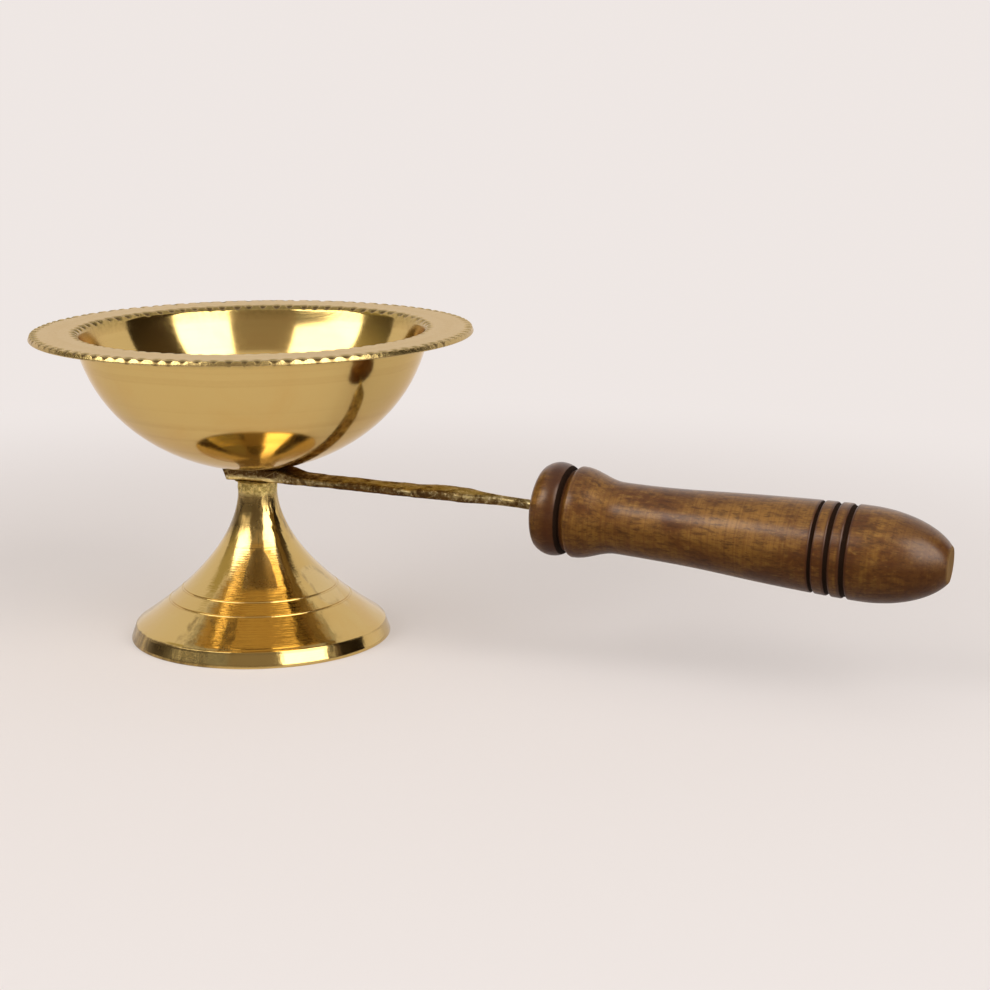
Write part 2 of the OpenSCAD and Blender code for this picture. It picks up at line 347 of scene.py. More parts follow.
# %% Strike the marks into the rim
outer_marks = 100
inner_marks = 76
mark_r = 1.2
edge_depth = 0.85
inner_depth = 0.7
outer_drift = 0.32
turn_error = 0.11
radius_error = 0.12
width_spread = (0.88, 1.08)
depth_spread = (0.8, 1.15)
lost_on_soft_side = 0.55
soft_side = math.radians(camera_azimuth + 95)
far_side = math.radians(camera_azimuth + 180)
deepest_z = rim_z - 1.4
innermost_r = bend_r - 1.9
punch = random.Random(7)


def struck_row(count, row_r, depth, drift=0.0):
    """Centre, radius and depth of every mark in a row, which drifts inwards on the far side."""
    row = []
    for i in range(count):
        angle = (i + punch.uniform(-turn_error, turn_error)) * TAU / count
        inwards = drift * (0.5 + 0.5 * math.cos(angle - far_side))
        r = row_r - inwards + punch.uniform(-radius_error, radius_error)
        lightness = smooth_step(0.75, 1.0, math.cos(angle - soft_side))
        deep = depth * punch.uniform(*depth_spread) * (1 - lost_on_soft_side * lightness)
        row.append((r * math.cos(angle), r * math.sin(angle), mark_r * punch.uniform(*width_spread), deep))
    return row


def strike(bm, rows):
    """Pushes the rim's top, and the bend beside it, down to the round bottom of every mark."""
    depth_layer = bm.verts.layers.float.new("punched")
    for vertex in bm.verts:
        x, y, z = vertex.co / MM
        r = math.hypot(x, y)
        if z < deepest_z or r < innermost_r:
            continue
        surface = rim_z if r > bend_r else z
        for row in rows:
            guess = round(math.atan2(y, x) / TAU * len(row))
            for i in (guess - 1, guess, guess + 1):
                mx, my, wide, deep = row[i % len(row)]
                d = math.hypot(x - mx, y - my) / wide
                if d < 1:
                    vertex.co.z = min(vertex.co.z, (surface - deep * (1 - d * d)) * MM)
                    vertex[depth_layer] = max(vertex[depth_layer], (1 - d * d) * deep / inner_depth)


outer_row = struck_row(outer_marks, outer_row_r, edge_depth, outer_drift)
inner_row = struck_row(inner_marks, inner_row_r, inner_depth)
strike(bowl_mesh, [outer_row, inner_row])
print("marks struck:", len(outer_row), "at the edge and", len(inner_row), "on the bend")
bowl = piece("bowl_dressed", bowl_mesh, "bowl", slot="bowl_brass", sharp=60)

# %% [markdown]
# The foot
#
# The foot is cast hollow and turned on a lathe: a trumpet with a polished band at the bottom and two thin
# engraved lines. The outline follows the trumpet's formula, and each engraved line is a small round bite
# taken out of it, so that its two edges catch the light as real ones do. The top of the neck was left
# rough where the strap was bedded on it, so its points are moved a little in and out by noise.

# %% Sizes of the foot
band_h = 4.0
band_top_r = 31.75
band_wall = 2.4
neck_r = 4.9
curve_top_z = foot_h - 2.2
foot_power = 1.91
foot_drop = 2.8
foot_edge_r = 0.5
arris = 0.3
chamfer = 0.3
fillet_r = 0.8
seat_z = 21.9
hollow_r = band_top_r - band_wall
line_r = 0.3
line_gap = 0.6
line_heights = (10.4, 13.2)
rough_z = foot_h - 3.0

# %% Outline of the foot


def trumpet_r(z):
    """Radius of the trumpet at height z."""
    share = max(0, (curve_top_z - z) / (curve_top_z - band_h))
    return neck_r + (band_top_r - neck_r) * share**foot_power


def engraved(z_line):
    """Points of one engraved line's round bottom, from its lower edge to its upper edge."""
    slope = math.degrees(math.atan2(trumpet_r(z_line + 0.1) - trumpet_r(z_line - 0.1), 0.2))
    return arc((trumpet_r(z_line), z_line), line_r, 270 - slope, 90 - slope, 8)


def trumpet_points(low, high, step):
    return [(trumpet_r(z), z) for z in spaced(low, high, step)]


def trumpet_outline():
    """The outer side, from the band's top edge to the neck."""
    low_line, high_line = line_heights
    return (
        trumpet_points(band_h + arris, low_line - line_gap, 0.6)
        + engraved(low_line)
        + trumpet_points(low_line + line_gap, high_line - line_gap, 0.6)
        + engraved(high_line)
        + trumpet_points(high_line + line_gap, rough_z, 0.7)
        + trumpet_points(rough_z, foot_h - fillet_r, 0.2)[1:]
    )


def foot_outline():
    """The whole section: resting edge, band, trumpet, neck, bore, seat and hollow."""
    hollow_top = seat_z + foot_drop
    hollow_low = next(z for z in spaced(band_h, hollow_top, 0.1) if trumpet_r(z) <= hollow_r)
    return (
        [(hollow_r + chamfer, 0), (foot_r - foot_edge_r - 0.6, 0)]
        + arc((foot_r - foot_edge_r, foot_edge_r), foot_edge_r, -90, 0, 5)
        + [(mixed(foot_r, band_top_r, i / 5), mixed(foot_edge_r, band_h - arris, i / 5)) for i in range(6)]
        + arc((band_top_r - arris, band_h - arris), arris, 0, 70, 4)
        + trumpet_outline()
        + arc((neck_r + fillet_r, foot_h - fillet_r), fillet_r, 180, 90, 6)
        + [(screw_hole_r + chamfer, foot_h), (screw_hole_r, foot_h - chamfer)]
        + [(screw_hole_r, seat_z + chamfer), (screw_hole_r + chamfer, seat_z)]
        + [(trumpet_r(z), z - foot_drop) for z in spaced(hollow_top, hollow_low, 1.0)]
        + [(hollow_r, hollow_low - foot_drop), (hollow_r, chamfer)]
    )


# %% [markdown]
# Dull places, painted dark reflections and rough places on the foot
#
# A hand-buffed foot is never evenly bright. The wheel misses the neck under the bowl, wax and fingers leave
# dull places, and a drip has dried on one side. The dark arch in front is a painted reflection of the bowl's
# dark underside, and the neck's dark colour is a painted dark reflection too. Each place is fixed on the
# foot by its height and by its angle, and it is kept as an attribute of the mesh. A material could also draw
# them from coordinates, but an attribute is easier to shape and to look at.

# %% Where the foot is dull, and where dark reflections are painted on it
arch_low_z = 15.3
arch_top_z = 24.6
arch_half_w = 4.8
drip_turn = 60
drip_z = 14.5
drip_half_w = 6.2
drip_half_h = 4.8


def from_camera_side(x, y):
    """Angle round the foot in degrees, 0 at the side that the photograph shows and more to the right."""
    return (math.degrees(math.atan2(y, x)) - camera_azimuth + 180) % 360 - 180


def patch(value, middle, half):
    """1 in the middle of a span, and 0 outside it."""
    return 1 - smooth_step(0.45, 1.0, abs(value - middle) / half)


def dull_and_dark_reflection_of_foot(turn, z):
    """How dull the polish is and where dark reflections are painted: an arch in front and the neck, which
    carry painted dark reflections, part of the band and two soft streaks above it.
    """
    # The arch in front is a painted reflection of the bowl's dark underside.
    arch_half = arch_half_w * math.sqrt(max(arch_top_z - z, 0.01) / (arch_top_z - arch_low_z))
    across = abs(math.radians(turn + 1) * trumpet_r(z))
    in_arch = 1 - smooth_step(arch_half - 0.5, arch_half + 0.5, across)
    arch = in_arch * smooth_step(arch_low_z - 1.1, arch_low_z + 1.7, z)
    above_band = smooth_step(band_h - 0.1, band_h + 0.2, z)
    # The neck's dark colour is a painted dark reflection.
    neck = 0.85 * smooth_step(24, 31, z) * (1 - smooth_step(4, 20, turn)) * smooth_step(-110, -80, turn)
    back = 0.5 * smooth_step(22, 30, z) * smooth_step(35, 70, abs(turn))
    band = 0.7 * (1 - above_band) * patch(turn, -62, 60)
    collar = 0.5 * smooth_step(31, 35, z) * patch(turn, 10, 110)
    streaks = 0.75 * patch(turn, -17, 4.5) + 0.4 * patch(turn, -35, 13)
    return max(arch, neck, back, band, collar, streaks * (1 - smooth_step(9, 12, z)) * above_band)


def residue_of_foot(turn, z):
    """The dried drip: 1 at its middle, 0 at its edge and below 0 outside it."""
    across = math.radians(turn - drip_turn) * trumpet_r(z)
    swirl = noise.noise(Vector((across * 0.22, z * 0.3, 5))) * 0.4
    return 1 - math.hypot(across / drip_half_w, (z - drip_z) / drip_half_h) + swirl


def rough_of_foot(r, z):
    """1 on the top of the neck, where the strap was bedded."""
    return smooth_step(rough_z - 0.8, rough_z + 0.8, z)


def inside_of_foot(r, z):
    """1 in the hollow and the bore, which keep the skin of the casting."""
    return 1.0 if r < trumpet_r(max(z, band_h)) - 1.0 and z < foot_h - 1 else 0.0


# %% Turn the foot
foot_mesh = lathe(
    foot_outline(), sectors=14, steps=30, closed=True,
    rough=rough_of_foot, inside=inside_of_foot,
)
dull_and_reflection_layer = foot_mesh.verts.layers.float.new("dull_and_dark_reflection")
residue_layer = foot_mesh.verts.layers.float.new("residue")
for vertex in foot_mesh.verts:
    x, y, z = vertex.co / MM
    turn = from_camera_side(x, y)
    vertex[dull_and_reflection_layer] = dull_and_dark_reflection_of_foot(turn, z)
    vertex[residue_layer] = residue_of_foot(turn, z)
    share = smooth_step(rough_z, rough_z + 1.2, z) * (1 - smooth_step(foot_h - 0.3, foot_h, z))
    if share and math.hypot(x, y) > neck_r - 1:
        lump = noise.noise(Vector((x, y, z)) * 0.9) * 0.24 + noise.noise(Vector((x, y, z)) * 2.6) * 0.1
        vertex.co += Vector((x, y, 0)).normalized() * (lump * share * MM)
foot = piece("foot_dressed", foot_mesh, "pedestal", slot="foot_brass", sharp=50)

# %% [markdown]
# The strap
#
# The strap is forged and filed by hand, so no edge of it is straight. It starts as a plain bar that planes
# cut into many short lengths. Each length then gets its own width, thickness and height from a few named
# sizes, and where the bar narrows to the tang its square section is eased into a round one. Noise at two
# sizes gives the hammered waviness and the file's chatter. The clamped eye and the tang inside the wood
# stay true, because the screw and the bore hold them.

# %% Sizes of the strap
strap_w = 7.6
strap_t = 2.3
belly = 0.6
belly_x = (40.0, 52.0, 64.0)
tail_x = strap_low.x / MM
tail_rake = 1.4
level_x = 8.0
thin_x = 12.0
fall = math.tan(math.radians(1.77))
reach_x = 66.0
taper_x = 57.0
tang_d = 2.4
tang_x = 61.5
grip_fall = 3.7
tang_fall = math.tan(math.radians(grip_fall))
tang_end_x = strap_high.x / MM
section_step = 0.5
corner_width = 0.14
print(f"strap from {tail_x:.1f} to {tang_end_x:.1f}")


def strap_thickness(x):
    """Thickness: thick at the eye, thin along the bar, round at the tang."""
    bar = mixed(eye_t, strap_t, smooth_step(level_x - 1, thin_x + 1, x))
    bar += belly * smooth_step(*belly_x[:2], x) * (1 - smooth_step(*belly_x[1:], x))
    return mixed(bar, tang_d, smooth_step(taper_x, reach_x, x))


def strap_width(x):
    return mixed(strap_w, tang_d, smooth_step(taper_x - 1, reach_x + 1, x))


def strap_middle(x):
    """Height of the middle of the bar: level under the bowl, then falling, then falling more."""
    low = foot_h - max(0, x - level_x) * fall
    middle = low + strap_thickness(x) / 2
    if x > tang_x:
        middle -= (x - tang_x) * (tang_fall - fall)
    return middle


# %% A bar that can be forged


def bar(start, stop, step):
    """A bar of unit width and height, cut across into short lengths and split along its faces."""
    bm = bmesh.new()
    bmesh.ops.create_cube(bm, size=1)
    bmesh.ops.scale(bm, vec=(stop - start, 1, 1), verts=bm.verts)
    bmesh.ops.translate(bm, vec=((start + stop) / 2, 0, 0), verts=bm.verts)
    lengthwise = [e for e in bm.edges if abs(e.verts[0].co.x - e.verts[1].co.x) > step]
    bmesh.ops.bevel(
        bm, geom=lengthwise, offset=corner_width, offset_type="OFFSET", affect="EDGES", segments=4,
        profile=0.5, material=-1,
    )
    cuts = [((x, 0, 0), (1, 0, 0)) for x in spaced(start, stop, step)[1:-1]]
    cuts += [((0, y, 0), (0, 1, 0)) for y in (-0.3, -0.2, -0.1, 0, 0.1, 0.2, 0.3)]
    cuts += [((0, 0, z), (0, 0, 1)) for z in (-0.24, -0.08, 0.08, 0.24)]
    for place, normal in cuts:
        geometry = bm.verts[:] + bm.edges[:] + bm.faces[:]
        bmesh.ops.bisect_plane(bm, geom=geometry, plane_co=place, plane_no=normal, dist=1e-5)
    return bm


def round_section(y, z, share):
    """Moves a point of the unit square towards the unit disc."""
    round_y = y * math.sqrt(1 - 2 * z * z)
    round_z = z * math.sqrt(1 - 2 * y * y)
    return mixed(y, round_y, share), mixed(z, round_z, share)


def hammered(x, y, z):
    """How far the forged surface stands out at a point, in millimetres."""
    at = Vector((x * 0.22, y * 0.35, z * 0.3))
    fine = Vector((x * 0.9, y * 1.1, z * 1.1))
    return noise.noise(at) * 0.34 + noise.noise(fine) * 0.13


# %% Forge the strap


def tarnish_and_shade_of_strap(x, side, high):
    """How dark the old brass is, at a height from -0.5 to 0.5, with painted shadow close under the bowl. Its
    top is rubbed bright by handling. The sides darken downwards, and the upper part close under the bowl is
    darkest, as a painted shadow of the bowl. Below 0 the lower half of the eye's side is bright and warm,
    like the neck under it."""
    downwards = mixed(1.0, 0.62, smooth_step(-0.35, 0.3, high))
    on_side = mixed(0.72, 1.2, smooth_step(10, 24, x)) * (1 - 0.35 * smooth_step(56, 66, x)) * downwards
    on_top = mixed(0.62, 0.34, smooth_step(14, 32, x))
    # Painted shadow: the upper part of the eye, close under the bowl, is darkened.
    painted_shade_under_bowl = (1 - smooth_step(10, 18, x)) * smooth_step(-0.25, 0.0, high)
    bright_eye_side = side * patch(x, 0, 10) * (1 - smooth_step(-0.3, 0.0, high))
    return mixed(max(mixed(on_top, on_side, side), painted_shade_under_bowl), -1.0, bright_eye_side)


strap_mesh = bar(tail_x, tang_end_x, section_step)
tarnish_and_shade_layer = strap_mesh.verts.layers.float.new("tarnish_and_shade")
for vertex in strap_mesh.verts:
    x, y, z = vertex.co
    side = smooth_step(0.38, 0.47, abs(y)) * (1 - smooth_step(0.42, 0.5, z))
    vertex[tarnish_and_shade_layer] = tarnish_and_shade_of_strap(x, side, z)
    near_tang = smooth_step(taper_x + 2, reach_x + 2, x)
    roundness = max(near_tang, 0.45 * smooth_step(9, 22, x))
    y, z = round_section(y, z, roundness)
    unclamped = smooth_step(neck_r, neck_r + 4, x)
    outside_wood = 1 - smooth_step(reach_x + 8, reach_x + 10, x)
    stand = hammered(x, y * strap_w, z * 3) * unclamped * outside_wood * (1 - 0.5 * near_tang)
    wavy = noise.noise(Vector((x * 0.22, y * 2, z))) * 0.4 + noise.noise(Vector((x * 0.7, 7, z * 3))) * 0.07
    width = strap_width(x) + wavy * outside_wood * (1 - 0.5 * roundness)
    thickness = strap_thickness(x) + stand
    shift = tail_rake * (0.5 - z) * (1 - smooth_step(tail_x, tail_x + 2.5, x))
    sway = noise.noise(Vector((x * 0.08, 3, 0))) * 0.25 * unclamped * (1 - smooth_step(50, 62, x))
    vertex.co = Vector((x + shift, y * width + sway, strap_middle(x) + z * thickness)) * MM
bmesh.ops.recalc_face_normals(strap_mesh, faces=strap_mesh.faces)
strap = piece("strap_dressed", strap_mesh, "handle_strap", slot="strap_brass", sharp=55)

# %% [markdown]
# The wooden grip
#
# The grip is one turned piece of hardwood with a round bead at the front, a waist and a swelling body. It
# is spun upright like the other turned pieces and then laid along the tang. Three lines near the end, and
# the groove behind the bead, were burnt in with a wire on the lathe, which the attribute burn records; it
# also makes the bead's front and the end a little darker. The attribute shine is 1 on the upper side, which
# the palm rubs, and 0 below, where the wood is darkened with painted shade.

# %% Sizes of the grip
wood_len = 99.2
bead_len = 8.4
bead_r = 11.3
groove_r = bead_r - 1.5
lip_r = 11.0
lip_len = 2.2
waist_r = 8.6
waist_x = 21.0
grip_r = 11.05
grip_x = 80.0
end_r = 4.1
burn_centres = (69.0, 72.75, 76.5)
burn_widths = (1.1, 1.4, 1.6)
burn_depth = 0.5
tang_bore_r = 1.3
tang_bore_len = 42.1
end_x = wood_len + 0.02
BEAD_SHARES = (
    (0.0, 0.3), (0.03, 0.6), (0.14, 0.84), (0.3, 0.94),
    (0.45, 0.985), (0.6, 1.0), (0.79, 0.98), (0.94, 0.925),
)


# %% Outline of the grip


def rounded(points, steps):
    """A smooth curve through the points, as a Catmull-Rom spline."""
    ends = [points[0]] + list(points) + [points[-1]]
    curve = []
    for a, b, c, d in zip(ends, ends[1:], ends[2:], ends[3:]):
        for i in range(steps):
            t = i / steps
            curve.append(tuple(
                0.5 * (
                    2 * q + (r - p) * t + (2 * p - 5 * q + 4 * r - s) * t**2 + (3 * q - p - 3 * r + s) * t**3
                )
                for p, q, r, s in zip(a, b, c, d)
            ))
    return curve + [points[-1]]


def level_step(a, b, share):
    """Height between a and b along a curve that is level at both ends."""
    return mixed(a, b, (1 - math.cos(math.pi * share)) / 2)


def body_r(x):
    """Radius of the grip behind the shoulder."""
    if x < waist_x:
        crest = bead_len + lip_len
        return level_step(lip_r, waist_r, (x - crest) / (waist_x - crest))
    if x < grip_x:
        return level_step(waist_r, grip_r, (x - waist_x) / (grip_x - waist_x))
    end_angle = math.acos(end_r / grip_r)
    nose = (wood_len - grip_x) / math.sin(end_angle)
    return grip_r * math.sqrt(max(0, 1 - ((x - grip_x) / nose) ** 2))


def from_burnt_lines(x):
    """How far x is from the middle of each burnt line, counted in half widths of that line."""
    return [abs(x - centre) / (width / 2) for centre, width in zip(burn_centres, burn_widths)]


def burnt_cut(x):
    """Depth of the burnt lines at distance x from the front."""
    return max(burn_depth * (1 - smooth_step(0.35, 1.15, d)) for d in from_burnt_lines(x))


def grip_outline():
    """Radius and distance from the front, closed by the bore of the tang."""
    bead = rounded([(r * bead_r, x * bead_len) for x, r in BEAD_SHARES] + [(groove_r, bead_len)], 4)
    crest = bead_len + lip_len
    shoulder = arc((lip_r - lip_len / 2, crest), lip_len / 2, -70, 0, 5)
    lines_start, lines_end = burn_centres[0] - 2, burn_centres[-1] + 2
    body = spaced(crest, lines_start, 1.2)[1:]
    body += spaced(lines_start, lines_end, 0.16)[1:]
    body += spaced(lines_end, wood_len - 3, 1.0)[1:]
    body += spaced(wood_len - 3, wood_len, 0.25)[1:]
    return (
        [(0, tang_bore_len), (tang_bore_r, tang_bore_len), (tang_bore_r, 0.15), (tang_bore_r + 0.15, 0)]
        + bead
        + shoulder
        + [(body_r(x) - burnt_cut(x), x) for x in body]
        + [(end_r - 0.5, end_x), (0, end_x)]
    )


# %% Burnt and sawn places of the grip


def burn_of_grip(r, x):
    """How black the wood is: 1 in a burnt line, about 0.4 where the heat only browned it, and a little
    darker towards the bead's front and the end.
    """
    if r < tang_bore_r + 1:
        return 0
    lines = max(
        0.4 * (1 - smooth_step(0.8, 2.2, d)) + 0.6 * (1 - smooth_step(0.5, 1.15, d))
        for d in from_burnt_lines(x)
    )
    behind_bead = 1 - smooth_step(bead_len, bead_len + 1.6, x)
    browned = 0.4 * smooth_step(bead_len * 0.35, bead_len * 0.75, x) * behind_bead
    groove = smooth_step(bead_len - 1.5, bead_len - 0.7, x) * (1 - smooth_step(bead_len, bead_len + 0.6, x))
    # A little darker towards the bead's front and towards the end.
    darker_ends = 0.12 * (1 - smooth_step(1, bead_len, x)) + 0.22 * smooth_step(burn_centres[-1], wood_len - 4, x)
    return max(lines, browned, groove, darker_ends)


def sawn_of_grip(r, x):
    """1 on the bare sawn flat at the end."""
    return smooth_step(wood_len - 0.4, wood_len - 0.05, x)


# %% Turn the grip and lay it along the tang
wood_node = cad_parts["wooden_handle"]
grip_axis = Vector((math.cos(math.radians(grip_fall)), 0, -math.sin(math.radians(grip_fall))))
spread = [vertex.co.dot(grip_axis) for vertex in wood_node.data.vertices]
end_points = [v.co for v, s in zip(wood_node.data.vertices, spread) if s > max(spread) - 0.01 * MM]
end_centre = sum(end_points, Vector()) / len(end_points)
grip_front = end_centre - grip_axis * (max(spread) - min(spread))
print("grip front at", [round(c / MM, 2) for c in grip_front])

grip_mesh = lathe(
    grip_outline(), sectors=16, steps=16, closed=False,
    burn=burn_of_grip, sawn=sawn_of_grip,
)
shine_layer = grip_mesh.verts.layers.float.new("shine")
for vertex in grip_mesh.verts:
    x, y, z = vertex.co / MM
    r = math.hypot(x, y)
    if r > tang_bore_r + 0.5:
        wander = noise.noise(Vector((x * 0.12, y * 0.12, z * 0.05))) * 0.12
        vertex.co += Vector((x, y, 0)).normalized() * (wander * MM)
    vertex[shine_layer] = smooth_step(-0.15, 0.45, -x / max(r, 1))
grip_place = Matrix.Translation(grip_front) @ turned(90 + grip_fall, "Y")
bmesh.ops.transform(grip_mesh, matrix=grip_place, verts=grip_mesh.verts)
grip = piece("grip_dressed", grip_mesh, "wooden_handle", slot="grip_wood", sharp=50)

# %% [markdown]
# Building node trees in code
#
# A material is a small graph of nodes. These helpers add one node at a time and join its inputs, so each
# finish below reads as a list of what feeds what. An input is either a plain value or the output of a
# node that was made before it.

# %% Node helpers


def node(tree, kind, inputs=(), **settings):
    """Adds a node to a tree. The inputs are pairs of a socket's name or number and its value or source."""
    made = tree.nodes.new(kind)
    for key, value in settings.items():
        setattr(made, key, value)
    for key, value in inputs:
        if isinstance(value, bpy.types.NodeSocket):
            tree.links.new(value, made.inputs[key])
        else:
            made.inputs[key].default_value = value
    return made


def maths(tree, operation, *values):
    return node(tree, "ShaderNodeMath", enumerate(values), operation=operation).outputs[0]


def product(tree, first, *others):
    """Multiplies any number of values."""
    for other in others:
        first = maths(tree, "MULTIPLY", first, other)
    return first


def raised(tree, value, *layers):
    """Adds to a value in turn. Each layer is a mask and the amount that is added where it is 1."""
    for mask, amount in layers:
        value = maths(tree, "ADD", value, product(tree, mask, amount))
    return value


def ramp(tree, value, low, high, to_low=0.0, to_high=1.0):
    """Carries a value smoothly from one range to another."""
    inputs = (
        ("Value", value), ("From Min", low), ("From Max", high), ("To Min", to_low), ("To Max", to_high),
    )
    return node(tree, "ShaderNodeMapRange", inputs, interpolation_type="SMOOTHSTEP").outputs[0]


def blend(tree, share, first, second):
    """Mixes two colours."""
    inputs = ((0, share), (6, first), (7, second))
    return node(tree, "ShaderNodeMix", inputs, data_type="RGBA").outputs[2]


def layered(tree, colour, *layers):
    """Lays tints over a colour in turn. Each layer is a mask, its cover where the mask is 1, and a tint."""
    for mask, share, tint in layers:
        colour = blend(tree, product(tree, mask, share), colour, tint)
    return colour


def blend_value(tree, share, first, second):
    inputs = ((0, share), (2, first), (3, second))
    return node(tree, "ShaderNodeMix", inputs, data_type="FLOAT").outputs[0]


# %% Helpers for patterns


def attribute(tree, name):
    return node(tree, "ShaderNodeAttribute", attribute_name=name).outputs["Fac"]


def object_place(tree):
    return node(tree, "ShaderNodeTexCoord").outputs["Object"]


def height_of(tree):
    return node(tree, "ShaderNodeSeparateXYZ", ((0, object_place(tree)),)).outputs[2]


def stretched(tree, place, scale=(1, 1, 1), rotation=(0, 0, 0)):
    """Turns and scales a pattern. A small scale draws it out along that axis."""
    inputs = (("Vector", place), ("Rotation", rotation), ("Scale", scale))
    return node(tree, "ShaderNodeMapping", inputs).outputs[0]


def cloudy(tree, place, scale, detail=3.0, roughness=0.5, distortion=0.0):
    """Soft noise between 0 and 1. The scale is in blotches per metre."""
    inputs = (
        ("Vector", place), ("Scale", scale), ("Detail", detail), ("Roughness", roughness),
        ("Distortion", distortion),
    )
    return node(tree, "ShaderNodeTexNoise", inputs).outputs[0]


def bump(tree, height, strength, distance, normal=None):
    """Tilts the surface by a height. The distance is how deep a height of 1 is, in metres."""
    inputs = [("Height", height), ("Strength", strength), ("Distance", distance)]
    if normal:
        inputs.append(("Normal", normal))
    return node(tree, "ShaderNodeBump", inputs).outputs[0]


# %% Helpers for node groups and materials


def new_group(name, outputs, **inputs):
    """An empty node group with sockets for numbers. An input's name is written with low lines for spaces."""
    group = bpy.data.node_groups.new(name, "ShaderNodeTree")
    for key, start in inputs.items():
        socket = group.interface.new_socket(
            key.replace("_", " "), in_out="INPUT", socket_type="NodeSocketFloat"
        )
        socket.default_value = start
    for key in outputs:
        group.interface.new_socket(key, in_out="OUTPUT", socket_type="NodeSocketFloat")
    print("node group:", name)
    return group, group.nodes.new("NodeGroupInput").outputs, group.nodes.new("NodeGroupOutput").inputs


def use_group(tree, group, **values):
    """Places a node group and sets its inputs."""
    inputs = [(key.replace("_", " "), value) for key, value in values.items()]
    return node(tree, "ShaderNodeGroup", inputs, node_tree=group).outputs


def new_material(name, **fixed):
    """A material with one Principled shader. The fixed values are set on the shader's own sockets."""
    material = bpy.data.materials.new(name)
    material.use_nodes = True
    shader = material.node_tree.nodes["Principled BSDF"]
    for key, value in fixed.items():
        shader.inputs[key.replace("_", " ")].default_value = value
    return material, material.node_tree, shader.inputs


def finish_with(obj, material):
    obj.data.materials.clear()
    obj.data.materials.append(material)
    print(f"{obj.name}: finished with {material.name}")


# %% [markdown]
# Shared finishes
#
# Brass from one workshop shows the same few effects everywhere: fine lines left by the lathe or the
# buffing wheel, cloudy stains where the polish wore unevenly, and thin scratches from use. Each effect is
# a node group with named inputs, built once, and every material places it with its own values.

# %% Lines left by turning
LATHE_WAVER_PER_METRE = 60

turning_lines, given, result = new_group("turning_lines", ["Height"], Lines_per_metre=2500.0, Waver=0.3)
place = object_place(turning_lines)
waver = product(turning_lines, cloudy(turning_lines, place, LATHE_WAVER_PER_METRE, 2), given["Waver"])
line_place = product(turning_lines, attribute(turning_lines, "run"), given["Lines per metre"])
line_place = maths(turning_lines, "ADD", line_place, waver)
line_noise = node(
    turning_lines,
    "ShaderNodeTexNoise",
    (("W", line_place), ("Scale", 1.0), ("Detail", 3.0), ("Roughness", 0.65)),
    noise_dimensions="1D",
)
turning_lines.links.new(line_noise.outputs[0], result["Height"])

# %% Cloudy stains
STAIN_SOFTNESS = 0.16
SPECKLES_PER_METRE = 900

stains, given, result = new_group("stains", ["Mask", "Speckle"], Blotches_per_metre=60.0, Cover=0.5)
place = object_place(stains)
clouds = cloudy(stains, place, given["Blotches per metre"], 5, 0.62, 0.6)
edge = maths(stains, "SUBTRACT", 0.85, product(stains, given["Cover"], 0.7))
low_edge = maths(stains, "SUBTRACT", edge, STAIN_SOFTNESS)
high_edge = maths(stains, "ADD", edge, STAIN_SOFTNESS)
stains.links.new(ramp(stains, clouds, low_edge, high_edge), result["Mask"])
fine_clouds = cloudy(stains, place, SPECKLES_PER_METRE, 2, 0.6)
stains.links.new(ramp(stains, fine_clouds, 0.35, 0.75), result["Speckle"])

# %% Thin scratches
SCRATCH_TURNS = ((0.3, 0.2, 0.5), (1.2, -0.4, 2.1), (-0.7, 0.9, 1.3))
SCRATCH_STRETCH = (1.0, 0.045, 0.045)

scratches, given, result = new_group("scratches", ["Mask"], Scratches_per_metre=500.0, Cover=0.3)
place = object_place(scratches)
limit = maths(scratches, "SUBTRACT", 0.74, product(scratches, given["Cover"], 0.2))
total = 0.0
for turn_by in SCRATCH_TURNS:
    long_way = stretched(scratches, stretched(scratches, place, rotation=turn_by), SCRATCH_STRETCH)
    streak = cloudy(scratches, long_way, given["Scratches per metre"], 2, 0.5)
    line = ramp(scratches, streak, limit, maths(scratches, "ADD", limit, 0.05))
    total = maths(scratches, "MAXIMUM", line, total)
scratches.links.new(total, result["Mask"])

# %% [markdown]
# Polished brass of the bowl
#
# Most of the colour of polished brass is what it mirrors, so its own colour stays even and its roughness
# is low. A slightly warmer stain keeps it from looking like plastic. The flat of the rim was only brushed,
# the bend above it holds some dirt, the rim's outer edge is darkened with painted shade, and the dots hold
# old polish, which the attributes matte and punched and one for the bend and the edge bring in. Brass pales
# at a grazing angle, and the specular tint keeps a little gold there.

# %% Colour of the bowl
BRASS = (0.66, 0.475, 0.175, 1)
BRASS_WARM = (0.64, 0.41, 0.13, 1)
BRASS_PALE = (0.70, 0.545, 0.285, 1)
BRASS_SPECKLE = (0.60, 0.46, 0.20, 1)
BUFFING_RING = (0.55, 0.36, 0.12, 1)
BEND_DIRT_AND_EDGE_SHADE = (0.30, 0.215, 0.062, 1)
OLD_POLISH = (0.115, 0.068, 0.022, 1)
GRAZING_GOLD = (1.0, 0.93, 0.83, 1)

